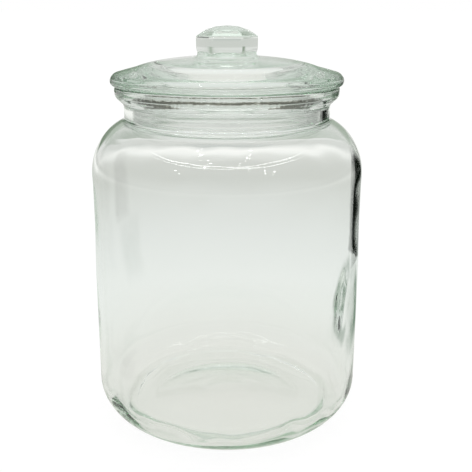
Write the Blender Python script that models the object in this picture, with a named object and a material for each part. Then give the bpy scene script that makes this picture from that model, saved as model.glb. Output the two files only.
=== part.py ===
"""Glass specimen jar with a pressed-glass lid and a ribbed clear seal, in metres, +Z up.

The jar stands on z = 0 with its axis on Z. Its lid drops into the neck on a hollow plug, which wears
the soft ribbed seal, and the lid's flange covers the rim. All three pieces are turned about Z.
"""

import math

import bmesh
import bpy

# Turning: divisible by four, so each piece reaches its full radius on X and Y, and by the six flats.
SEGMENTS = 60
ROUND_EDGE_ANGLE = math.radians(32)
MERGE_DISTANCE = 0.00001

# Working gaps between neighbours.
TOUCH_GAP = 0.0003

# Jar body.
BODY_RADIUS = 0.090
BODY_WALL = 0.004
HEEL_WIDTH = 0.032
HEEL_HEIGHT = 0.0265
SHOULDER_BASE = 0.169
SHOULDER_WIDTH = 0.032
SHOULDER_HEIGHT = 0.0385
SHOULDER_WALL = 0.0045

# Jar base: a flat contact ring round a shallow push-up, and a thick floor inside. The stations are parts
# of the push-up's radius.
CONTACT_RING_WIDTH = 0.006
PUSH_UP = 0.003
PUSH_UP_STATIONS = (0.0, 0.4, 0.65, 0.85, 1.0)
FLOOR_HEIGHT = 0.009
FLOOR_RADIUS = 0.0675
FLOOR_SAG = 0.0006
INNER_HEEL_HEIGHT = 0.019

# Jar neck and its rolled bead. The mouth's stations are parts of its chamfer, outwards and upwards from
# where the bore would meet the rim.
NECK_RADIUS = 0.0672
NECK_BORE = 0.062
NECK_TOP = 0.2160
BEAD_RADIUS = 0.073
BEAD_UNDERSIDE = 0.2208
BEAD_CORNER = (0.0004, 0.0014)
RIM_HEIGHT = 0.2274
RIM_ROUNDING = 0.002
MOUTH_CHAMFER = 0.0022
MOUTH_STATIONS = ((1.0, 0.0), (0.3, -0.5), (0.0, -1.5))

# Lid flange and plug. The flange's stations are parts of its rounded edge, outwards and upwards from where
# the rim would meet the top and the underside.
FLANGE_RADIUS = 0.0757
FLANGE_THICKNESS = 0.0075
FLANGE_EDGE = 0.0026
FLANGE_TOP_STATIONS = ((-1.0, 0.0), (-0.25, -0.6), (0.0, -1.4))
FLANGE_FOOT_STATIONS = ((-0.1, 0.7), (-0.9, 0.0))
PLUG_RADIUS = 0.0576
PLUG_LIP_RADIUS = 0.0584
PLUG_LIP_HEIGHT = 0.0018
PLUG_BOTTOM = 0.2026
PLUG_HOLLOW_TOP_RADIUS = 0.049
PLUG_HOLLOW_MOUTH_RADIUS = 0.0508
PLUG_CORNER = 0.0008
PLUG_LIP_SLOPE = 0.00054

# Lid dome: an elliptical arc over the flange, from the knob's foot to the flange's slope.
DOME_RADIUS = 0.065
DOME_BASE = 0.2340
DOME_HEIGHT = 0.0121
DOME_START = 72
DOME_END = 24

# Slope (radius, height) from the dome down to the flange's rim, and the fillet inside the plug.
SLOPE = ((0.0625, 0.2381), (0.0663, 0.2371))
HOLLOW_FILLET = ((PLUG_HOLLOW_TOP_RADIUS, 0.2315), (PLUG_HOLLOW_TOP_RADIUS - 0.0014, 0.2347))

# The hollow's top, a shallow spherical cap.
HOLLOW_TOP = 0.2398
HOLLOW_SPHERE = 0.320
HOLLOW_STATIONS = (0.044, 0.028, 0.0)

# Knob: six flats under a faceted crown, on a short round waist. The crown's rings are given as a part of
# the knob's radius and a drop below its top.
KNOB_FLATS = 6
KNOB_RADIUS = 0.0198
KNOB_APOTHEM = 0.0173
KNOB_SIDE_BASE = 0.2498
KNOB_SIDE_TOP = 0.2582
KNOB_EDGE = 0.0008
KNOB_TOP = 0.2648
WAIST_RADIUS = 0.0186
WAIST_HEIGHT = 0.2466
WAIST_FLARE = 0.0006
CROWN = ((0.36, 0.0006), (0.69, 0.0027))

# Seal: a thin sleeve on the plug, with fins that reach the neck's bore.
SEAL_WALL = 0.0014
SEAL_BASE = 0.2050
SEAL_TOP = 0.2258
FIN_COUNT = 5
FIN_THICKNESS = 0.0013
FIN_PITCH = 0.0041

# Steps along each arc.
HEEL_STEPS = 8
SHOULDER_STEPS = 9
RIM_STEPS = 3
INNER_SHOULDER_STEPS = 8
INNER_HEEL_STEPS = 6
DOME_STEPS = 6

# The pieces' plain colours and finish.
GLASS_COLOUR = (0.80, 0.88, 0.84, 1.0)
GLASS_IOR = 1.52
GLASS_ROUGHNESS = 0.02
SEAL_COLOUR = (0.86, 0.89, 0.87, 1.0)
SEAL_IOR = 1.53
SEAL_ROUGHNESS = 0.18


def clear_scene():
    """Start from an empty scene."""
    for item in list(bpy.data.objects):
        bpy.data.objects.remove(item, do_unlink=True)


def clear_material(name, colour, ior, roughness):
    """A see-through Principled material."""
    material = bpy.data.materials.new(name)
    material.use_nodes = True
    shader = material.node_tree.nodes["Principled BSDF"]
    shader.inputs["Base Color"].default_value = colour
    shader.inputs["Metallic"].default_value = 0.0
    shader.inputs["Roughness"].default_value = roughness
    shader.inputs["IOR"].default_value = ior
    shader.inputs["Transmission Weight"].default_value = 1.0
    return material


def arc(centre, radii, start, end, steps):
    """Points (radius, height) along an elliptical arc, with both angles in degrees."""
    points = []
    for step in range(steps + 1):
        angle = math.radians(start + (end - start) * step / steps)
        points.append((centre[0] + radii[0] * math.cos(angle), centre[1] + radii[1] * math.sin(angle)))
    return points


def around(corner, size, stations):
    """Points near a corner, each given as parts of a size outwards and upwards from it."""
    return [(corner[0] + out * size, corner[1] + up * size) for out, up in stations]


def cap(top, sphere, radii):
    """Points of a spherical cap at the given distances from the axis."""
    return [(radius, top - (sphere - math.sqrt(sphere**2 - radius**2))) for radius in radii]


def turn(name, outline, material, closed, reshape=None):
    """Spin an outline of (radius, height) points about Z into one closed object."""
    shape = bmesh.new()
    points = [shape.verts.new((radius, 0.0, height)) for radius, height in outline]
    edges = [shape.edges.new(pair) for pair in zip(points, points[1:])]
    if closed:
        edges.append(shape.edges.new((points[-1], points[0])))
    bmesh.ops.spin(
        shape,
        geom=points + edges,
        cent=(0.0, 0.0, 0.0),
        axis=(0.0, 0.0, 1.0),
        dvec=(0.0, 0.0, 0.0),
        angle=math.tau,
        steps=SEGMENTS,
        use_merge=True,
        use_duplicate=False,
    )
    bmesh.ops.remove_doubles(shape, verts=shape.verts[:], dist=MERGE_DISTANCE)
    if reshape:
        reshape(shape)
    bmesh.ops.recalc_face_normals(shape, faces=shape.faces[:])
    mesh = bpy.data.meshes.new(name)
    shape.to_mesh(mesh)
    shape.free()
    mesh.shade_smooth()
    mesh.set_sharp_from_angle(angle=ROUND_EDGE_ANGLE)
    mesh.materials.append(material)
    piece = bpy.data.objects.new(name, mesh)
    bpy.context.scene.collection.objects.link(piece)
    return piece


def jar_outline():
    """The jar's section, from the middle of the base round the outside and down the inside."""
    heel_start = BODY_RADIUS - HEEL_WIDTH
    push_up_radius = heel_start - CONTACT_RING_WIDTH
    base = [(push_up_radius * part, PUSH_UP * (1 - part * part)) for part in PUSH_UP_STATIONS]
    heel = arc((heel_start, HEEL_HEIGHT), (HEEL_WIDTH, HEEL_HEIGHT), -90, 0, HEEL_STEPS)

    shoulder_centre = (BODY_RADIUS - SHOULDER_WIDTH, SHOULDER_BASE)
    neck_angle = math.degrees(math.acos((NECK_RADIUS - shoulder_centre[0]) / SHOULDER_WIDTH))
    shoulder = arc(shoulder_centre, (SHOULDER_WIDTH, SHOULDER_HEIGHT), 0, neck_angle, SHOULDER_STEPS)
    neck = [(NECK_RADIUS, NECK_TOP)]
    bead = [
        (BEAD_RADIUS - BEAD_CORNER[0], BEAD_UNDERSIDE),
        (BEAD_RADIUS, BEAD_UNDERSIDE + BEAD_CORNER[1]),
    ]
    rim_centre = (BEAD_RADIUS - RIM_ROUNDING, RIM_HEIGHT - RIM_ROUNDING)
    rim = arc(rim_centre, (RIM_ROUNDING, RIM_ROUNDING), 0, 90, RIM_STEPS)
    mouth = around((NECK_BORE, RIM_HEIGHT), MOUTH_CHAMFER, MOUTH_STATIONS)

    inner_width = SHOULDER_WIDTH - BODY_WALL
    bore_angle = math.degrees(math.acos((NECK_BORE - shoulder_centre[0]) / inner_width))
    inner_height = SHOULDER_HEIGHT - SHOULDER_WALL
    inner_shoulder = arc(shoulder_centre, (inner_width, inner_height), bore_angle, 0, INNER_SHOULDER_STEPS)
    inner_heel_width = BODY_RADIUS - BODY_WALL - FLOOR_RADIUS
    inner_heel_centre = (FLOOR_RADIUS, FLOOR_HEIGHT + INNER_HEEL_HEIGHT)
    inner_heel_radii = (inner_heel_width, INNER_HEEL_HEIGHT)
    inner_heel = arc(inner_heel_centre, inner_heel_radii, 0, -90, INNER_HEEL_STEPS)
    floor = [(0.0, FLOOR_HEIGHT - FLOOR_SAG)]
    return base + heel + shoulder + neck + bead + rim + mouth + inner_shoulder + inner_heel + floor


def lid_outline():
    """The lid's section, from the knob's top round the flange and plug to the hollow's top."""
    underside = RIM_HEIGHT + TOUCH_GAP
    knob = [
        (0.0, KNOB_TOP),
        *[(part * KNOB_RADIUS, KNOB_TOP - drop) for part, drop in CROWN],
        (KNOB_RADIUS - KNOB_EDGE, KNOB_SIDE_TOP + KNOB_EDGE / 2),
        (KNOB_RADIUS, KNOB_SIDE_TOP - KNOB_EDGE / 2),
        (KNOB_RADIUS, KNOB_SIDE_BASE),
        (KNOB_RADIUS - KNOB_EDGE / 2, KNOB_SIDE_BASE - KNOB_EDGE),
        (WAIST_RADIUS, WAIST_HEIGHT),
        (WAIST_RADIUS + WAIST_FLARE, WAIST_HEIGHT - WAIST_FLARE),
    ]
    dome = arc((0.0, DOME_BASE), (DOME_RADIUS, DOME_HEIGHT), DOME_START, DOME_END, DOME_STEPS)
    flange_top = underside + FLANGE_THICKNESS
    flange = [
        *around((FLANGE_RADIUS, flange_top), FLANGE_EDGE, FLANGE_TOP_STATIONS),
        *around((FLANGE_RADIUS, underside), FLANGE_EDGE, FLANGE_FOOT_STATIONS),
        (PLUG_RADIUS, underside),
    ]
    plug = [
        (PLUG_RADIUS, PLUG_BOTTOM + PLUG_LIP_HEIGHT + PLUG_LIP_SLOPE),
        (PLUG_LIP_RADIUS, PLUG_BOTTOM + PLUG_LIP_HEIGHT),
        (PLUG_LIP_RADIUS, PLUG_BOTTOM + PLUG_CORNER),
        (PLUG_LIP_RADIUS - PLUG_CORNER, PLUG_BOTTOM),
        (PLUG_HOLLOW_MOUTH_RADIUS + PLUG_CORNER, PLUG_BOTTOM),
        (PLUG_HOLLOW_MOUTH_RADIUS, PLUG_BOTTOM + PLUG_CORNER),
    ]
    hollow = list(HOLLOW_FILLET) + cap(HOLLOW_TOP, HOLLOW_SPHERE, HOLLOW_STATIONS)
    return knob + dome + list(SLOPE) + flange + plug + hollow


def press_flats(shape):
    """Press the knob's flats into the turned shape, so that each of its rings becomes a hexagon."""
    half_flat = math.pi / KNOB_FLATS
    for vert in shape.verts:
        x, y, z = vert.co
        if z < KNOB_SIDE_BASE - KNOB_EDGE / 2:
            continue
        from_middle = math.atan2(y, x) % (2 * half_flat) - half_flat
        squeeze = min(1.0, KNOB_APOTHEM / KNOB_RADIUS / math.cos(from_middle))
        vert.co.x *= squeeze
        vert.co.y *= squeeze


def seal_outline():
    """The seal's section: a sleeve with fins, as one closed loop."""
    inner = PLUG_RADIUS + TOUCH_GAP
    sleeve = inner + SEAL_WALL
    tip = NECK_BORE - TOUCH_GAP
    loop = [(inner, SEAL_TOP), (inner, SEAL_BASE), (sleeve, SEAL_BASE)]
    span = (FIN_COUNT - 1) * FIN_PITCH
    first = (SEAL_BASE + SEAL_TOP - span) / 2
    for index in range(FIN_COUNT):
        height = first + index * FIN_PITCH
        loop += [
            (sleeve, height - FIN_THICKNESS / 2),
            (tip, height - FIN_THICKNESS / 4),
            (tip, height + FIN_THICKNESS / 4),
            (sleeve, height + FIN_THICKNESS / 2),
        ]
    return loop + [(sleeve, SEAL_TOP)]


def build():
    """Make the three pieces at their rest places."""
    clear_scene()
    jar_glass = clear_material("jar_glass", GLASS_COLOUR, GLASS_IOR, GLASS_ROUGHNESS)
    lid_glass = clear_material("lid_glass", GLASS_COLOUR, GLASS_IOR, GLASS_ROUGHNESS)
    seal_plastic = clear_material("seal_plastic", SEAL_COLOUR, SEAL_IOR, SEAL_ROUGHNESS)
    turn("jar", jar_outline(), jar_glass, closed=False)
    turn("lid", lid_outline(), lid_glass, closed=False, reshape=press_flats)
    turn("lid_seal", seal_outline(), seal_plastic, closed=True)


build()
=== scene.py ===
"""Looks for the specimen jar: fine glass, its clear seal, the floor, the light and the camera.

Metres, +Z up, with the jar standing on z = 0 and its axis on Z. The three pieces stand for the CAD nodes
jar, lid and lid_seal. Each is a closed body turned about Z, and the jar has the small unevenness of
pressed glass.
"""

import math

import bmesh
import bpy
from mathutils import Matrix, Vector, noise


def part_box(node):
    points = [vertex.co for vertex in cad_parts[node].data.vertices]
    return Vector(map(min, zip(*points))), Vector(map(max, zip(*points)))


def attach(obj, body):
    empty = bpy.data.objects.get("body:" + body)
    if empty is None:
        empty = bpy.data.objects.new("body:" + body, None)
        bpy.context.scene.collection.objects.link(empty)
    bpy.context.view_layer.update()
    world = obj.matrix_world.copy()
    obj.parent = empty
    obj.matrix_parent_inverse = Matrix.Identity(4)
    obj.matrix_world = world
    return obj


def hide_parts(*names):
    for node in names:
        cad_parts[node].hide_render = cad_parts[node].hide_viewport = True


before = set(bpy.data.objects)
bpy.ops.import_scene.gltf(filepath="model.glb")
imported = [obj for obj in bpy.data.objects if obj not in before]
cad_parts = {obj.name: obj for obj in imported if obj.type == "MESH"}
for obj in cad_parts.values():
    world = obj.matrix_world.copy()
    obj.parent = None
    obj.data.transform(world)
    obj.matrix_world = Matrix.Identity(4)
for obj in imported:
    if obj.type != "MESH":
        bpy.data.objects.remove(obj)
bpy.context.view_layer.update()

# Sizes that the frame gives.
JAR_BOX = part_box("jar")
LID_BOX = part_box("lid")
SEAL_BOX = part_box("lid_seal")
BODY_RADIUS = JAR_BOX[1].x
RIM_HEIGHT = JAR_BOX[1].z
FLANGE_RADIUS = LID_BOX[1].x
PLUG_BOTTOM = LID_BOX[0].z
KNOB_TOP = LID_BOX[1].z
SEAL_TIP = SEAL_BOX[1].x
SEAL_BASE = SEAL_BOX[0].z
SEAL_TOP = SEAL_BOX[1].z

# How fine the turned pieces are.
SEGMENTS = 240
RING_STEP = 0.0032
CORNER_STEPS = 7
HEEL_STEPS = 26
SHOULDER_STEPS = 26
RIM_STEPS = 8
INNER_SHOULDER_STEPS = 24
INNER_HEEL_STEPS = 20
DOME_STEPS = 22
ON_AXIS = 1e-6

# Gap between pieces that rest on each other.
TOUCH_GAP = 0.0003

# Jar body, base and neck.
BODY_WALL = 0.004
HEEL_WIDTH = 0.032
HEEL_HEIGHT = 0.0265
SHOULDER_BASE = 0.169
SHOULDER_WIDTH = 0.032
SHOULDER_HEIGHT = 0.0385
SHOULDER_WALL = 0.0045
CONTACT_RING_WIDTH = 0.006
PUSH_UP = 0.003
PUSH_UP_STATIONS = (0.0, 0.3, 0.55, 0.75, 0.9)
FLOOR_HEIGHT = 0.009
FLOOR_RADIUS = 0.0675
FLOOR_SAG = 0.0006
INNER_HEEL_HEIGHT = 0.019
LEDGE_RADIUS = 0.0688
STEP_RADIUS = 0.0634
STEP_WIDTH = 0.0009
STEP_DROP = 0.0014
LEDGE_DIP = 0.0004
NECK_RADIUS = 0.0672
NECK_BORE = 0.062
NECK_TOP = 0.2160
BEAD_RADIUS = 0.073
BEAD_UNDERSIDE = 0.2208
BEAD_SLOPE = (0.0006, 0.0024)
RIM_ROUNDING = 0.002
MOUTH_CHAMFER = 0.0022

# Lid flange, plug, dome and hollow.
FLANGE_THICKNESS = 0.0075
FLANGE_EDGE = 0.0026
PLUG_RADIUS = 0.0576
PLUG_LIP_RADIUS = 0.0584
PLUG_LIP_HEIGHT = 0.0018
PLUG_HOLLOW_TOP_RADIUS = 0.049
PLUG_HOLLOW_MOUTH_RADIUS = 0.0508
DOME_RADIUS = 0.065
DOME_BASE = 0.2340
DOME_HEIGHT = 0.0121
DOME_START = 72
DOME_END = 24
SLOPE = ((0.0625, 0.2381), (0.0663, 0.2371))
HOLLOW_CORNER = 0.2352
HOLLOW_TOP = 0.2398
HOLLOW_SPHERE = 0.320
HOLLOW_EDGE_RADIUS = 0.0462
HOLLOW_STATIONS = (1.0, 0.75, 0.5, 0.25, 0.0)

# Knob: six flats under a domed crown, on a short round waist. The crown's stations are parts of the
# knob's radius, each with how far it lies below the top.
KNOB_FLATS = 6
KNOB_RADIUS = 0.0198
KNOB_APOTHEM = 0.0173
KNOB_CORNER_ROUNDING = 0.0006
KNOB_SIDE_BASE = 0.2502
KNOB_SIDE_TOP = 0.2582
KNOB_FLAT_START = 0.2466
KNOB_FLAT_FULL = 0.2488
WAIST_RADIUS = 0.0186
WAIST_HEIGHT = 0.2466
CROWN = ((0.0, 0.0), (0.36, 0.0006), (0.69, 0.0027))

# Seal: a sleeve with fins.
SEAL_WALL = 0.0014
FIN_COUNT = 5
FIN_THICKNESS = 0.0013
FIN_PITCH = 0.0041

# Unevenness of the pressed glass: how far the surface strays, in metres.
WALL_WAVE = 0.00016
HEEL_WAVE = 0.0034
HEEL_FINE_PART = 0.4
FLOOR_WAVE = 0.00022
OUTER_WAVE = 0.00010
SHOULDER_WAVE = 0.00015
SEAL_WAVE = 0.00008
SLIMMING = 0.0008

# How far the outer waves lean inward, as a part of their size, so that the jar stays inside its box.
OUTER_LEAN = 0.6
SHOULDER_LEAN = 0.8

# The waves themselves: turns round the jar, the height of one in metres, and a seed.
WALL_RIPPLE = (3.2, 0.045, 31.0)
OUTER_RIPPLE = (3.0, 0.05, 7.0)
SHOULDER_RIPPLE = (5.0, 0.013, 4.0)
HEEL_RIPPLE = (1.5, 0.012, 3.0)
HEEL_FINE_RIPPLE = (5.0, 0.012, 11.0)
LUMP_RIPPLE = (13.0, 0.013, 2.0)
SEAL_RIPPLE = (4.0, 0.01, 5.0)
FLOOR_TURNS_PER_METRE = 30.0
FLOOR_RIPPLE = (0.02, 19.0)

# Where each kind of unevenness sets in or dies out: from the first value to the second, in metres.
OUTER_FROM = (0.004, 0.02)
OUTER_UP_TO = (0.192, 0.204)
SHOULDER_FROM = (0.150, 0.180)
SLIM_FROM = (0.100, 0.145)
SLIM_UP_TO = (0.160, 0.185)
WALL_UP_TO = (0.185, 0.205)
HEEL_UP_TO = (0.012, 0.045)
HEEL_RADII = (0.030, 0.062)
FLOOR_UP_TO = (0.010, 0.016)
FLOOR_RADII = (0.0, 0.02)

# A thick, rippled patch of wall, low on the right.
LUMP_ANGLE = math.radians(-30)
LUMP_SPAN = math.radians(7.5)
LUMP_MIDDLE = 0.091
LUMP_HEIGHT = 0.021
LUMP_DEPTH = 0.0017
LUMP_UNEVENNESS = 0.5

# Glass and seal: how much each bends light, and what a metre takes from red, green and blue. The seal
# bends light less than real vinyl does, which keeps the neck as pale as it should be.
GLASS_IOR = 1.52
JAR_LOSS = (4.4, 2.8, 4.1)
LID_LOSS = (3.0, 1.9, 2.7)
SEAL_IOR = 1.24
SEAL_LOSS = (4.0, 3.0, 3.8)
DENSITY_HEADROOM = 1.25

# Grain of the surfaces: the scales of the broad and the fine noise, the depth and strength of the bump,
# and the lowest and highest roughness.
GLASS_GRAIN = {"scales": (22.0, 60.0), "depth": 0.0002, "strength": 0.25, "low": 0.0, "high": 0.03}
SEAL_GRAIN = {"scales": (40.0, 240.0), "depth": 0.0001, "strength": 0.12, "low": 0.10, "high": 0.26}

# Painted shade in the front of the neck's bore, near the seal's top: a dark, ragged line in the jar's colour
# that stands in for dark surroundings refracted under the bead. Its height and half its width in front, how
# far it droops and how much wider it gets at the two sides, and how steeply that sets in. How ragged it is,
# how soon it fades, and how fine and how flat its noise is. It reaches out to a radius, which keeps it on the
# bore, and back to a place on Y, which keeps it in front. Last come its tones.
SHADE_LINE_HEIGHT = 0.2231
SHADE_LINE_HALF = 0.00060
SHADE_LINE_DROOP = 0.0036
SHADE_LINE_SIDE_HALF = 0.0022
SHADE_LINE_SIDE_POWER = 4.0
SHADE_LINE_RAGGED = 3.0
SHADE_LINE_FADE = 0.0004
SHADE_LINE_SCALE = 560.0
SHADE_LINE_FLATNESS = 1.6
SHADE_LINE_REACH = 0.0646
SHADE_LINE_BACK_EDGE = 0.010
SHADE_LINE_TONES = ((0.0, (1.0, 1.0, 1.0)), (0.5, (0.30, 0.27, 0.21)), (1.0, (0.030, 0.028, 0.020)))

# Small lights in two groups, one to each side of the viewer. For each side, how far its middle is from
# straight in front, in degrees. How many lights a group has and how far off they are, in metres. How high
# the lowest stands, how far the rest rise above it and how far they scatter sideways, in degrees. Then the
# steps that spread them, their power in watts and their radius in metres.
CEILING_GROUPS = ((-1, 34.0), (1, 28.0))
LIGHTS_IN_GROUP = 7
CEILING_REACH = 1.5
CEILING_LOWEST = 30.0
CEILING_RISE = 44.0
CEILING_SCATTER = 16.0
SCATTER_STEP = 2.4
GOLDEN_PART = 0.618
GROUP_STEP = 0.1
CEILING_POWER = 0.45
CEILING_LIGHT_RADIUS = 0.019

# Camera: in front of the jar, looking down at it.
CAMERA_PLACE = (0.0, -0.515, 0.27655)
CAMERA_PITCH = math.radians(16.43)
SENSOR_WIDTH = 36.0
FOCAL_LENGTH = 59.48
CAMERA_SHIFT = 0.0191
CLIP_START = 0.01

# How many walls of glass a ray may meet.
GLASS_BOUNCES = 96

# The floor is two discs: a white one that the camera sees, which glows so that only a faint shadow shows
# on it, and one just under it that the glass shows.
FLOOR_SIZE = 40.0
FLOOR_SIDES = 96
SEEN_FLOOR_HEIGHT = -0.0004
GLASS_FLOOR_HEIGHT = -0.0008
SEEN_FLOOR_TONE = 0.10
SEEN_FLOOR_GLOW = 0.94

# A soft window high behind the jar, which glows in the lid: its direction, how far it spreads, its light,
# and the squeeze across that makes it wide.
WINDOW_DIRECTION = (0.0, math.cos(math.radians(44)), math.sin(math.radians(44)))
WINDOW_SPREAD = math.radians(17)
WINDOW_LIGHT = 0.28
WINDOW_STRETCH = (0.5, 1.0, 1.0)

# How pale the floor looks in the glass, as painted light and shade in rings by distance from the jar as a
# part of the reach, and the room by the height of the direction looked in.
FLOOR_REACH = 4.0
FLOOR_BY_DISTANCE = (
    (0.00, (0.740, 0.740, 0.690)),
    (0.022, (0.775, 0.780, 0.735)),
    (0.05, (0.835, 0.860, 0.822)),
    (0.07, (0.850, 0.878, 0.850)),
    (0.115, (0.780, 0.806, 0.782)),
    (0.155, (0.710, 0.732, 0.700)),
    (0.207, (0.620, 0.638, 0.600)),
    (0.26, (0.650, 0.665, 0.630)),
    (0.31, (0.720, 0.735, 0.700)),
    (0.40, (0.930, 0.940, 0.910)),
    (0.50, (1.000, 1.000, 0.970)),
    (0.66, (0.800, 0.810, 0.785)),
    (0.84, (0.660, 0.672, 0.645)),
    (1.00, (0.650, 0.662, 0.635)),
)
ROOM_BY_HEIGHT = (
    (0.00, (0.780, 0.785, 0.765)),
    (0.10, (0.740, 0.750, 0.730)),
    (0.35, (0.720, 0.735, 0.712)),
    (0.70, (0.840, 0.850, 0.830)),
    (1.00, (1.020, 1.020, 1.000)),
)

# Grey cards, and one bright strip, that stand or lie round the jar: azimuths in degrees, distances and
# heights in metres, colour, and how soft the edges are as a part of the card.
CARD_COLUMNS = 16
CARD_ROWS = 12
CARD_TOP_SOFTNESS = 1.6
CARDS = {
    "card_right": ((30, 58), (0.40, 0.40), (0.0, 0.215), (0.004, 0.006, 0.004), 0.08),
    "card_right_floor": ((12, 54), (0.14, 0.42), (0.0004, 0.0004), (0.13, 0.21, 0.145), 0.3),
    "card_left_low": ((112, 130), (0.45, 0.45), (0.180, 0.213), (0.18, 0.24, 0.17), 0.2),
    "card_left_high": ((97, 126), (1.0, 1.0), (0.215, 0.40), (0.24, 0.30, 0.23), 0.22),
    "card_left_top": ((90, 134), (1.0, 1.0), (0.36, 0.52), (0.46, 0.52, 0.45), 0.3),
    "card_right_high": ((50, 90), (1.0, 1.0), (0.22, 0.50), (0.40, 0.46, 0.39), 0.3),
    "card_back": ((84, 96), (3.0, 3.0), (0.0, 0.11), (0.54, 0.565, 0.545), 0.3),
    "shoulder_line": ((180, 360), (0.95, 0.95), (1.06, 1.10), (13.0, 13.0, 13.0), 0.2),
}


# ---------------------------------------------------------------- outlines


def arc(centre, radii, start, end, steps):
    """Points (radius, height) along an elliptical arc, with both angles in degrees."""
    points = []
    for step in range(steps + 1):
        angle = math.radians(start + (end - start) * step / steps)
        points.append((centre[0] + radii[0] * math.cos(angle), centre[1] + radii[1] * math.sin(angle)))
    return points


def rounded(before, corner, after, reach):
    """Points of a smooth turn at a corner, which starts and ends a reach away from it."""
    corner = Vector(corner)
    start = corner + (Vector(before) - corner).normalized() * reach
    end = corner + (Vector(after) - corner).normalized() * reach
    points = []
    for step in range(CORNER_STEPS + 1):
        t = step / CORNER_STEPS
        points.append(tuple(start * (1 - t) ** 2 + corner * (2 * t * (1 - t)) + end * t**2))
    return points


def soften(outline):
    """An outline whose points may carry a third value, the reach of the rounding at that corner."""
    points = []
    for index, point in enumerate(outline):
        if len(point) == 3:
            before = outline[index - 1][:2]
            after = outline[(index + 1) % len(outline)][:2]
            points += rounded(before, point[:2], after, point[2])
        else:
            points.append(tuple(point))
    return points


def refine(outline, step, closed=False):
    """The same outline with no edge longer than the step."""
    ends = outline[1:] + outline[:1] if closed else outline[1:]
    points = []
    for start, end in zip(outline, ends):
        parts = max(1, math.ceil(math.dist(start, end) / step))
        for part in range(parts):
            t = part / parts
            points.append((start[0] + (end[0] - start[0]) * t, start[1] + (end[1] - start[1]) * t))
    return points if closed else points + [outline[-1]]


def jar_outlines():
    """The jar's section in two lists: the outside, from the base to the rim, and the inside, back down."""
    heel_start = BODY_RADIUS - HEEL_WIDTH
    push_up_radius = heel_start - CONTACT_RING_WIDTH
    base = [(push_up_radius * part, PUSH_UP * (1 - part * part)) for part in PUSH_UP_STATIONS]
    base.append((push_up_radius, 0.0, 0.0012))
    heel = arc((heel_start, HEEL_HEIGHT), (HEEL_WIDTH, HEEL_HEIGHT), -90, 0, HEEL_STEPS)
    shoulder_centre = (BODY_RADIUS - SHOULDER_WIDTH, SHOULDER_BASE)
    neck_angle = math.degrees(math.acos((NECK_RADIUS - shoulder_centre[0]) / SHOULDER_WIDTH))
    shoulder = arc(shoulder_centre, (SHOULDER_WIDTH, SHOULDER_HEIGHT), 0, neck_angle, SHOULDER_STEPS)
    foot = shoulder.pop()
    neck = [(foot[0], foot[1], 0.0016), (NECK_RADIUS, NECK_TOP, 0.0016)]
    bead = [
        (BEAD_RADIUS - BEAD_SLOPE[0], BEAD_UNDERSIDE, 0.0014),
        (BEAD_RADIUS, BEAD_UNDERSIDE + BEAD_SLOPE[1], 0.0012),
    ]
    rim_centre = (BEAD_RADIUS - RIM_ROUNDING, RIM_HEIGHT - RIM_ROUNDING)
    bead += arc(rim_centre, (RIM_ROUNDING, RIM_ROUNDING), 0, 90, RIM_STEPS)
    outside = refine(soften(base + heel + shoulder + neck + bead + [(NECK_BORE, RIM_HEIGHT)]), RING_STEP)

    inner_width = SHOULDER_WIDTH - BODY_WALL
    bore_angle = math.degrees(math.acos((NECK_BORE - shoulder_centre[0]) / inner_width))
    inner_radii = (inner_width, SHOULDER_HEIGHT - SHOULDER_WALL)
    inner_shoulder = arc(shoulder_centre, inner_radii, bore_angle, 0, INNER_SHOULDER_STEPS)
    top = inner_shoulder.pop(0)
    mouth = [
        (NECK_BORE + MOUTH_CHAMFER, RIM_HEIGHT),
        (NECK_BORE, RIM_HEIGHT - 1.4 * MOUTH_CHAMFER, 0.0020),
        (top[0], top[1], 0.0020),
    ]
    inner_heel_width = BODY_RADIUS - BODY_WALL - FLOOR_RADIUS
    inner_heel_centre = (FLOOR_RADIUS, FLOOR_HEIGHT + INNER_HEEL_HEIGHT)
    inner_heel = arc(inner_heel_centre, (inner_heel_width, INNER_HEEL_HEIGHT), 0, -90, INNER_HEEL_STEPS)
    inner_heel = [point for point in inner_heel if point[0] > LEDGE_RADIUS + RING_STEP / 2]
    ledge_height = FLOOR_HEIGHT + STEP_DROP
    floor = [
        (LEDGE_RADIUS, ledge_height - LEDGE_DIP, 0.0006),
        (STEP_RADIUS + STEP_WIDTH, ledge_height, 0.0004),
        (STEP_RADIUS, FLOOR_HEIGHT, 0.0005),
        (0.0, FLOOR_HEIGHT - FLOOR_SAG),
    ]
    inside = refine(soften(mouth + inner_shoulder + inner_heel + floor), RING_STEP)
    rim_edge = next(i for i, point in enumerate(outside) if point[1] == RIM_HEIGHT)
    return outside[: rim_edge + 1], inside


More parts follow.
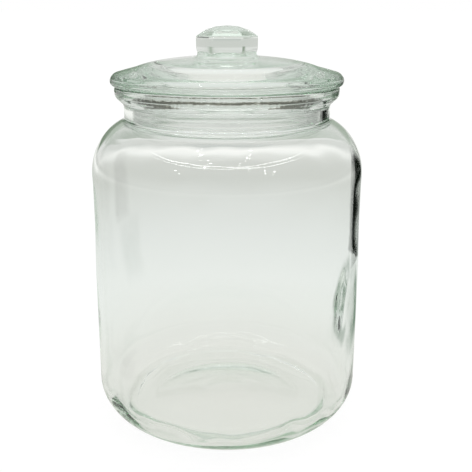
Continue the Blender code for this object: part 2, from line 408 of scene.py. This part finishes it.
def lid_outline():
    """The lid's section, from the knob's top round the flange and plug to the hollow's top."""
    underside = RIM_HEIGHT + TOUCH_GAP
    flange_top = underside + FLANGE_THICKNESS
    knob = [(part * KNOB_RADIUS, KNOB_TOP - drop) for part, drop in CROWN]
    knob += [
        (KNOB_RADIUS, KNOB_SIDE_TOP, 0.0012),
        (KNOB_RADIUS, KNOB_SIDE_BASE, 0.0012),
        (WAIST_RADIUS, WAIST_HEIGHT, 0.0018),
    ]
    dome = arc((0.0, DOME_BASE), (DOME_RADIUS, DOME_HEIGHT), DOME_START, DOME_END, DOME_STEPS)
    flange = [
        (SLOPE[0][0], SLOPE[0][1]),
        (SLOPE[1][0], SLOPE[1][1]),
        (FLANGE_RADIUS - FLANGE_EDGE, flange_top, 0.0012),
        (FLANGE_RADIUS, flange_top - 1.2 * FLANGE_EDGE, 0.0020),
        (FLANGE_RADIUS - 0.15 * FLANGE_EDGE, underside + 0.5 * FLANGE_EDGE, 0.0009),
        (FLANGE_RADIUS - 0.9 * FLANGE_EDGE, underside, 0.0006),
    ]
    plug = [
        (PLUG_RADIUS, underside, 0.0006),
        (PLUG_RADIUS, PLUG_BOTTOM + 1.5 * PLUG_LIP_HEIGHT, 0.0004),
        (PLUG_LIP_RADIUS, PLUG_BOTTOM + PLUG_LIP_HEIGHT, 0.0004),
        (PLUG_LIP_RADIUS, PLUG_BOTTOM, 0.0008),
        (PLUG_HOLLOW_MOUTH_RADIUS, PLUG_BOTTOM, 0.0012),
        (PLUG_HOLLOW_TOP_RADIUS, HOLLOW_CORNER, 0.0034),
    ]
    hollow_radii = [HOLLOW_EDGE_RADIUS * part for part in HOLLOW_STATIONS]
    hollow = [(r, HOLLOW_TOP - HOLLOW_SPHERE + math.sqrt(HOLLOW_SPHERE**2 - r**2)) for r in hollow_radii]
    return refine(soften(knob + dome + flange + plug + hollow), RING_STEP)


def seal_outline():
    """The seal's section: a sleeve with rounded fins, as one closed loop."""
    inner = PLUG_RADIUS + TOUCH_GAP
    sleeve = inner + SEAL_WALL
    loop = [(inner, SEAL_TOP, 0.0004), (inner, SEAL_BASE, 0.0004), (sleeve, SEAL_BASE, 0.0004)]
    span = (FIN_COUNT - 1) * FIN_PITCH
    first = (SEAL_BASE + SEAL_TOP - span) / 2
    for index in range(FIN_COUNT):
        height = first + index * FIN_PITCH
        loop += [
            (sleeve, height - FIN_THICKNESS / 2, 0.0003),
            (SEAL_TIP, height - FIN_THICKNESS / 4, 0.0003),
            (SEAL_TIP, height + FIN_THICKNESS / 4, 0.0003),
            (sleeve, height + FIN_THICKNESS / 2, 0.0003),
        ]
    loop.append((sleeve, SEAL_TOP, 0.0004))
    return refine(soften(loop), RING_STEP, closed=True)


# ---------------------------------------------------------------- turned meshes


def blend(value, low, high):
    """0 below low, 1 above high, and a smooth step between them."""
    t = min(1.0, max(0.0, (value - low) / (high - low)))
    return t * t * (3 - 2 * t)


def ripple(angle, height, turns, lift, seed):
    """Smooth waves round and up a turned surface, from about -1 to 1."""
    return noise.noise(Vector((turns * math.cos(angle) + seed, turns * math.sin(angle), height / lift)))


def link(item):
    """The object, now in the scene."""
    bpy.context.scene.collection.objects.link(item)
    return item


def mesh_object(name, shape):
    """An object of this name in the scene, made of a bmesh, which is used up."""
    mesh = bpy.data.meshes.new(name)
    shape.to_mesh(mesh)
    shape.free()
    return link(bpy.data.objects.new(name, mesh))


def join_rings(shape, low, high):
    """Faces between two rings of points, where a ring of one point is a pole."""
    count = max(len(low), len(high))
    for step in range(count):
        after = (step + 1) % count
        if len(low) == 1:
            shape.faces.new((low[0], high[step], high[after]))
        elif len(high) == 1:
            shape.faces.new((low[after], low[step], high[0]))
        else:
            shape.faces.new((low[after], low[step], high[step], high[after]))


def turned(name, outline, shift, closed=False):
    """One closed body turned about Z. shift(index, radius, height, angle) gives a point's own place."""
    shape = bmesh.new()
    rings = []
    for index, (radius, height) in enumerate(outline):
        if radius < ON_AXIS:
            rings.append([shape.verts.new((0.0, 0.0, height))])
            continue
        ring = []
        for step in range(SEGMENTS):
            angle = math.tau * step / SEGMENTS
            r, z = shift(index, radius, height, angle)
            ring.append(shape.verts.new((r * math.cos(angle), r * math.sin(angle), z)))
        rings.append(ring)
    for low, high in zip(rings, rings[1:]):
        join_rings(shape, low, high)
    if closed:
        join_rings(shape, rings[-1], rings[0])
    bmesh.ops.recalc_face_normals(shape, faces=shape.faces[:])
    piece = mesh_object(name, shape)
    piece.data.shade_smooth()
    return piece


def lump(angle, height):
    """How far a thick, rippled patch low on the wall's right side stands in from the rest."""
    around = math.remainder(angle - LUMP_ANGLE, math.tau) / LUMP_SPAN
    up = (height - LUMP_MIDDLE) / LUMP_HEIGHT
    fade = math.exp(-(around**2) - up**2)
    return fade * LUMP_DEPTH * (1 + LUMP_UNEVENNESS * ripple(angle, height, *LUMP_RIPPLE))


def slimming(height):
    """How much slimmer than its CAD solid the jar is at this height, most of all just under the shoulder."""
    return SLIMMING * blend(height, *SLIM_FROM) * (1 - blend(height, *SLIM_UP_TO))


def outer_shift(radius, height, angle):
    """A point's own place on the jar's outside, which is a little wavy, most of all on the shoulder."""
    calm = blend(height, *OUTER_FROM) * (1 - blend(height, *OUTER_UP_TO))
    wave = OUTER_WAVE * (ripple(angle, height, *OUTER_RIPPLE) - OUTER_LEAN) * calm
    short = blend(height, *SHOULDER_FROM)
    wave += SHOULDER_WAVE * (ripple(angle, height, *SHOULDER_RIPPLE) - SHOULDER_LEAN) * calm * short
    return radius + wave - slimming(height), height


def inner_shift(radius, height, angle):
    """A point's own place on the jar's inside, which wanders most round the edge of the floor."""
    body = 1 - blend(height, *WALL_UP_TO)
    wave = WALL_WAVE * ripple(angle, height, *WALL_RIPPLE) * body
    wave -= lump(angle, height) + slimming(height)
    heel = (1 - blend(height, *HEEL_UP_TO)) * blend(radius, *HEEL_RADII)
    bumps = ripple(angle, radius, *HEEL_RIPPLE)
    bumps += HEEL_FINE_PART * ripple(angle, radius, *HEEL_FINE_RIPPLE)
    wave += HEEL_WAVE * bumps * heel
    floor = (1 - blend(height, *FLOOR_UP_TO)) * blend(radius, *FLOOR_RADII)
    turns = FLOOR_TURNS_PER_METRE * radius
    lift = FLOOR_WAVE * ripple(angle, radius, turns, *FLOOR_RIPPLE) * floor
    return radius + wave, height + lift


def make_jar():
    """The jar, with the waves and the lump of pressed glass."""
    outside, inside = jar_outlines()

    def shift(index, radius, height, angle):
        place = outer_shift if index < len(outside) else inner_shift
        return place(radius, height, angle)

    return turned("jar_glass_body", outside + inside, shift)


def make_lid():
    """The lid, with the six flats pressed into its knob."""
    half_flat = math.pi / KNOB_FLATS

    def shift(_, radius, height, angle):
        from_middle = angle % (2 * half_flat) - half_flat
        flat = KNOB_APOTHEM / math.cos(from_middle)
        softness = KNOB_CORNER_ROUNDING * 2
        gap = KNOB_RADIUS - flat
        hexagon = KNOB_RADIUS - 0.5 * (gap + math.sqrt(gap * gap + softness * softness)) + 0.5 * softness
        pressed = blend(height, KNOB_FLAT_START, KNOB_FLAT_FULL)
        return radius * (1 - pressed + pressed * hexagon / KNOB_RADIUS), height

    return turned("lid_glass_body", lid_outline(), shift)


def make_seal():
    """The ribbed seal, whose fins wave a very little."""

    def shift(_, radius, height, angle):
        out = blend(radius, PLUG_RADIUS + TOUCH_GAP + SEAL_WALL, SEAL_TIP)
        return radius - SEAL_WAVE * out * (1 + ripple(angle, height, *SEAL_RIPPLE)), height

    return turned("seal_body", seal_outline(), shift, closed=True)


# ---------------------------------------------------------------- materials


def node(tree, kind, **values):
    """A new node with its plain inputs set by name."""
    made = tree.nodes.new(kind)
    for name, value in values.items():
        made.inputs[name.replace("_", " ")].default_value = value
    return made


def wire(tree, source, output, target, entry):
    """A link from one node's output to another's input, each given by name or number."""
    tree.links.new(source.outputs[output], target.inputs[entry])


def new_material(name):
    """A new material and its node tree."""
    material = bpy.data.materials.new(name)
    material.use_nodes = True
    return material, material.node_tree


def ramp_between(tree, stops):
    """A colour ramp with these (position, colour) stops."""
    ramp = tree.nodes.new("ShaderNodeValToRGB")
    elements = ramp.color_ramp.elements
    elements[0].position, elements[0].color = stops[0][0], stops[0][1] + (1.0,)
    elements[1].position, elements[1].color = stops[-1][0], stops[-1][1] + (1.0,)
    for position, colour in stops[1:-1]:
        elements.new(position).color = colour + (1.0,)
    return ramp


def surface_grain(tree, shader, scales, depth, strength, low, high):
    """Fine waves as bump, and roughness that wanders between two values."""
    place = tree.nodes.new("ShaderNodeTexCoord")
    broad = node(tree, "ShaderNodeTexNoise", Scale=scales[0], Detail=2.0, Roughness=0.5)
    fine = node(tree, "ShaderNodeTexNoise", Scale=scales[1], Detail=3.0, Roughness=0.55)
    wire(tree, place, "Object", broad, "Vector")
    wire(tree, place, "Object", fine, "Vector")
    bump = node(tree, "ShaderNodeBump", Strength=strength, Distance=depth)
    wire(tree, broad, "Fac", bump, "Height")
    wire(tree, bump, "Normal", shader, "Normal")
    span = node(tree, "ShaderNodeMapRange")
    span.inputs["To Min"].default_value = low
    span.inputs["To Max"].default_value = high
    wire(tree, fine, "Fac", span, "Value")
    wire(tree, span, "Result", shader, "Roughness")


def absorb(tree, output, loss):
    """Colour by depth: a Volume Absorption whose density and colour give the loss per metre."""
    density = max(loss) * DENSITY_HEADROOM
    volume = tree.nodes.new("ShaderNodeVolumeAbsorption")
    volume.inputs["Density"].default_value = density
    volume.inputs["Color"].default_value = tuple(1 - part / density for part in loss) + (1.0,)
    wire(tree, volume, "Volume", output, "Volume")


def math_node(tree, operation, first, second=0.0):
    """The output of one Math node fed by sockets or numbers."""
    made = tree.nodes.new("ShaderNodeMath")
    made.operation = operation
    for socket, value in zip(made.inputs, (first, second)):
        if isinstance(value, (int, float)):
            socket.default_value = value
        else:
            tree.links.new(value, socket)
    return made.outputs["Value"]


def painted_shade_line(tree, shader):
    """A thin, dark, ragged line of painted shade round the front of the bore, wider and patchy at the two
    sides: it darkens the glass's colour where dark surroundings would show refracted under the bead.
    """
    place = tree.nodes.new("ShaderNodeTexCoord")
    split = tree.nodes.new("ShaderNodeSeparateXYZ")
    flatten = tree.nodes.new("ShaderNodeMapping")
    flatten.inputs["Scale"].default_value = (1.0, 1.0, SHADE_LINE_FLATNESS)
    ragged_noise = node(tree, "ShaderNodeTexNoise", Scale=SHADE_LINE_SCALE, Detail=4.0, Roughness=0.6)
    wire(tree, place, "Object", split, "Vector")
    wire(tree, place, "Object", flatten, "Vector")
    wire(tree, flatten, "Vector", ragged_noise, "Vector")
    across_bore = math_node(tree, "DIVIDE", split.outputs["X"], NECK_BORE)
    side = math_node(tree, "POWER", across_bore, SHADE_LINE_SIDE_POWER)
    middle = math_node(tree, "SUBTRACT", SHADE_LINE_HEIGHT, math_node(tree, "MULTIPLY", side, SHADE_LINE_DROOP))
    half = math_node(tree, "ADD", math_node(tree, "MULTIPLY", side, SHADE_LINE_SIDE_HALF), SHADE_LINE_HALF)
    stray = math_node(tree, "MULTIPLY", math_node(tree, "SUBTRACT", ragged_noise.outputs["Fac"], 0.5), SHADE_LINE_RAGGED)
    ragged = math_node(tree, "MULTIPLY", half, math_node(tree, "ADD", stray, 1.0))
    off = math_node(tree, "ABSOLUTE", math_node(tree, "SUBTRACT", split.outputs["Z"], middle))
    depth = math_node(tree, "SUBTRACT", ragged, off)
    across = math_node(tree, "POWER", split.outputs["X"], 2.0)
    along = math_node(tree, "POWER", split.outputs["Y"], 2.0)
    on_bore = math_node(tree, "LESS_THAN", math_node(tree, "ADD", across, along), SHADE_LINE_REACH**2)
    in_front = math_node(tree, "LESS_THAN", split.outputs["Y"], SHADE_LINE_BACK_EDGE)
    allowed = math_node(tree, "MULTIPLY", on_bore, in_front)
    amount = math_node(tree, "MULTIPLY", math_node(tree, "DIVIDE", depth, SHADE_LINE_FADE), allowed)
    tone = ramp_between(tree, SHADE_LINE_TONES)
    tree.links.new(amount, tone.inputs["Fac"])
    wire(tree, tone, "Color", shader, "Base Color")


def clear_material(name, ior, loss, grain):
    """A clear material with depth colour and a procedural surface."""
    material, tree = new_material(name)
    shader = tree.nodes["Principled BSDF"]
    shader.inputs["Base Color"].default_value = (1.0, 1.0, 1.0, 1.0)
    shader.inputs["Transmission Weight"].default_value = 1.0
    shader.inputs["IOR"].default_value = ior
    surface_grain(tree, shader, **grain)
    absorb(tree, tree.nodes["Material Output"], loss)
    return material


# ---------------------------------------------------------------- stage, light and camera


def only_in_glass(item):
    """Hide an object from the camera, and from diffuse and shadow rays, so that only glass shows it."""
    item.visible_camera = False
    item.visible_diffuse = False
    item.visible_shadow = False


def disc(name, height):
    """A flat round floor."""
    shape = bmesh.new()
    bmesh.ops.create_circle(shape, cap_ends=True, radius=FLOOR_SIZE, segments=FLOOR_SIDES)
    made = mesh_object(name, shape)
    made.location.z = height
    return made


def camera_floor():
    """The floor that the camera sees: white, with a faint shadow at the jar's foot."""
    floor = disc("floor_seen", SEEN_FLOOR_HEIGHT)
    material, tree = new_material("floor_white")
    shader = tree.nodes["Principled BSDF"]
    shader.inputs["Base Color"].default_value = (SEEN_FLOOR_TONE,) * 3 + (1.0,)
    shader.inputs["Roughness"].default_value = 1.0
    shader.inputs["Specular IOR Level"].default_value = 0.0
    shader.inputs["Emission Color"].default_value = (1.0, 1.0, 1.0, 1.0)
    shader.inputs["Emission Strength"].default_value = SEEN_FLOOR_GLOW
    floor.data.materials.append(material)
    floor.visible_transmission = False
    floor.visible_glossy = False


def glass_floor():
    """The floor as the glass shows it: it glows with painted light and shade, in tones that change with the
    distance from the jar.
    """
    floor = disc("floor_through_glass", GLASS_FLOOR_HEIGHT)
    material, tree = new_material("floor_painted_glow")
    tree.nodes.remove(tree.nodes["Principled BSDF"])
    glow = tree.nodes.new("ShaderNodeEmission")
    place = tree.nodes.new("ShaderNodeTexCoord")
    reach = tree.nodes.new("ShaderNodeVectorMath")
    reach.operation = "LENGTH"
    ramp = ramp_between(tree, FLOOR_BY_DISTANCE)
    scale = tree.nodes.new("ShaderNodeMath")
    scale.operation = "DIVIDE"
    scale.inputs[1].default_value = FLOOR_REACH
    wire(tree, place, "Object", reach, 0)
    wire(tree, reach, "Value", scale, 0)
    wire(tree, scale, "Value", ramp, "Fac")
    wire(tree, ramp, "Color", glow, "Color")
    wire(tree, glow, "Emission", tree.nodes["Material Output"], "Surface")
    floor.data.materials.append(material)
    only_in_glass(floor)


def studio_world():
    """White where the camera looks past the jar. In the glass, a pale room that is lightest overhead."""
    world = bpy.data.worlds.new("studio")
    bpy.context.scene.world = world
    world.use_nodes = True
    tree = world.node_tree
    output = tree.nodes["World Output"]
    room = tree.nodes["Background"]
    place = tree.nodes.new("ShaderNodeTexCoord")
    split = tree.nodes.new("ShaderNodeSeparateXYZ")
    ramp = ramp_between(tree, ROOM_BY_HEIGHT)
    white = tree.nodes.new("ShaderNodeBackground")
    white.inputs["Color"].default_value = (1.0, 1.0, 1.0, 1.0)
    path = tree.nodes.new("ShaderNodeLightPath")
    mix = tree.nodes.new("ShaderNodeMixShader")
    wire(tree, place, "Generated", split, "Vector")
    wire(tree, split, "Z", ramp, "Fac")
    window = tree.nodes.new("ShaderNodeVectorMath")
    window.operation = "DOT_PRODUCT"
    window.inputs[1].default_value = WINDOW_DIRECTION
    glow = tree.nodes.new("ShaderNodeMapRange")
    glow.interpolation_type = "SMOOTHSTEP"
    glow.inputs["From Min"].default_value = math.cos(WINDOW_SPREAD)
    glow.inputs["To Max"].default_value = WINDOW_LIGHT
    squeeze = tree.nodes.new("ShaderNodeVectorMath")
    squeeze.operation = "MULTIPLY"
    squeeze.inputs[1].default_value = WINDOW_STRETCH
    even = tree.nodes.new("ShaderNodeVectorMath")
    even.operation = "NORMALIZE"
    wire(tree, place, "Generated", squeeze, 0)
    wire(tree, squeeze, "Vector", even, 0)
    wire(tree, even, "Vector", window, 0)
    wire(tree, window, "Value", glow, "Value")
    total = tree.nodes.new("ShaderNodeVectorMath")
    wire(tree, ramp, "Color", total, 0)
    wire(tree, glow, "Result", total, 1)
    wire(tree, total, "Vector", room, "Color")
    wire(tree, path, "Is Camera Ray", mix, "Fac")
    wire(tree, room, "Background", mix, 1)
    wire(tree, white, "Background", mix, 2)
    wire(tree, mix, "Shader", output, "Surface")


def card(name, azimuths, distances, heights, colour, softness):
    """A grey card with soft edges, curved round the jar between two azimuths in degrees.

    It stands up if only its heights differ, and lies on the floor if only its distances do. Only the
    glass shows it, and most of the dark and pale bands in clear glass come from such cards.
    """
    shape = bmesh.new()
    cover = shape.verts.layers.float.new("cover")
    grid = []
    for column in range(CARD_COLUMNS + 1):
        across = column / CARD_COLUMNS
        angle = math.radians(azimuths[0] + (azimuths[1] - azimuths[0]) * across)
        line = []
        for row in range(CARD_ROWS + 1):
            up = row / CARD_ROWS
            distance = distances[0] + (distances[1] - distances[0]) * up
            height = heights[0] + (heights[1] - heights[0]) * up
            vert = shape.verts.new((distance * math.cos(angle), distance * math.sin(angle), height))
            sides = blend(across, 0.0, softness) * (1 - blend(across, 1 - softness, 1.0))
            foot = blend(up, 0.0, softness) if heights[0] == heights[1] else 1.0
            vert[cover] = sides * foot * (1 - blend(up, 1 - CARD_TOP_SOFTNESS * softness, 1.0))
            line.append(vert)
        grid.append(line)
    for left, right in zip(grid, grid[1:]):
        for row in range(CARD_ROWS):
            shape.faces.new((left[row], right[row], right[row + 1], left[row + 1]))
    made = mesh_object(name, shape)
    material, tree = new_material(name)
    tree.nodes.remove(tree.nodes["Principled BSDF"])
    grey = tree.nodes.new("ShaderNodeEmission")
    grey.inputs["Color"].default_value = colour + (1.0,)
    clear = tree.nodes.new("ShaderNodeBsdfTransparent")
    amount = tree.nodes.new("ShaderNodeAttribute")
    amount.attribute_name = "cover"
    mix = tree.nodes.new("ShaderNodeMixShader")
    wire(tree, amount, "Fac", mix, "Fac")
    wire(tree, clear, "BSDF", mix, 1)
    wire(tree, grey, "Emission", mix, 2)
    wire(tree, mix, "Shader", tree.nodes["Material Output"], "Surface")
    made.data.materials.append(material)
    only_in_glass(made)


def ceiling_lights():
    """Two groups of small lights over the viewer's shoulders, which sparkle in the jar's own shoulder."""
    for side, middle in CEILING_GROUPS:
        for index in range(LIGHTS_IN_GROUP):
            scatter = math.sin(SCATTER_STEP * index + side)
            azimuth = math.radians(-90 + side * middle + CEILING_SCATTER * scatter)
            part = (index * GOLDEN_PART + side * GROUP_STEP) % 1.0
            elevation = math.radians(CEILING_LOWEST + CEILING_RISE * part)
            light = bpy.data.lights.new(f"ceiling_{side}_{index}", "POINT")
            light.energy = CEILING_POWER
            light.shadow_soft_size = CEILING_LIGHT_RADIUS
            lamp = link(bpy.data.objects.new(light.name, light))
            flat = CEILING_REACH * math.cos(elevation)
            lamp.location = (
                flat * math.cos(azimuth),
                flat * math.sin(azimuth),
                CEILING_REACH * math.sin(elevation),
            )
            lamp.visible_camera = False
            lamp.visible_diffuse = False


def add_camera():
    """The camera, in front of the jar and looking down at it."""
    lens = bpy.data.cameras.new("camera")
    lens.sensor_width = SENSOR_WIDTH
    lens.lens = FOCAL_LENGTH
    lens.shift_x = CAMERA_SHIFT
    lens.clip_start = CLIP_START
    camera = link(bpy.data.objects.new("camera", lens))
    camera.location = CAMERA_PLACE
    camera.rotation_euler = (math.pi / 2 - CAMERA_PITCH, 0.0, 0.0)
    bpy.context.scene.camera = camera


def colour_and_bounces():
    """Whites stay white, and light passes all the walls of the glass."""
    scene = bpy.context.scene
    scene.view_settings.view_transform = "Standard"
    scene.cycles.max_bounces = GLASS_BOUNCES
    scene.cycles.transmission_bounces = GLASS_BOUNCES
    scene.cycles.glossy_bounces = GLASS_BOUNCES


# ---------------------------------------------------------------- the scene


add_camera()
colour_and_bounces()
studio_world()
camera_floor()
glass_floor()
for card_name, card_values in CARDS.items():
    card(card_name, *card_values)
ceiling_lights()

jar_look = clear_material("jar_glass_look", GLASS_IOR, JAR_LOSS, GLASS_GRAIN)
lid_look = clear_material("lid_glass_look", GLASS_IOR, LID_LOSS, GLASS_GRAIN)
seal_look = clear_material("seal_look", SEAL_IOR, SEAL_LOSS, SEAL_GRAIN)
# The jar's bore gets a painted dark line: shade painted into the glass's colour, standing in for dark
# surroundings refracted under the bead.
painted_shade_line(jar_look.node_tree, jar_look.node_tree.nodes["Principled BSDF"])
pieces = (
    (make_jar(), "jar", "jar", "jar_glass", jar_look),
    (make_lid(), "lid", "lid", "lid_glass", lid_look),
    (make_seal(), "seal", "lid_seal", "seal_plastic", seal_look),
)
for piece, body, cad_node, slot, material in pieces:
    piece.data.materials.append(material)
    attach(piece, body)
    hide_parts(cad_node)
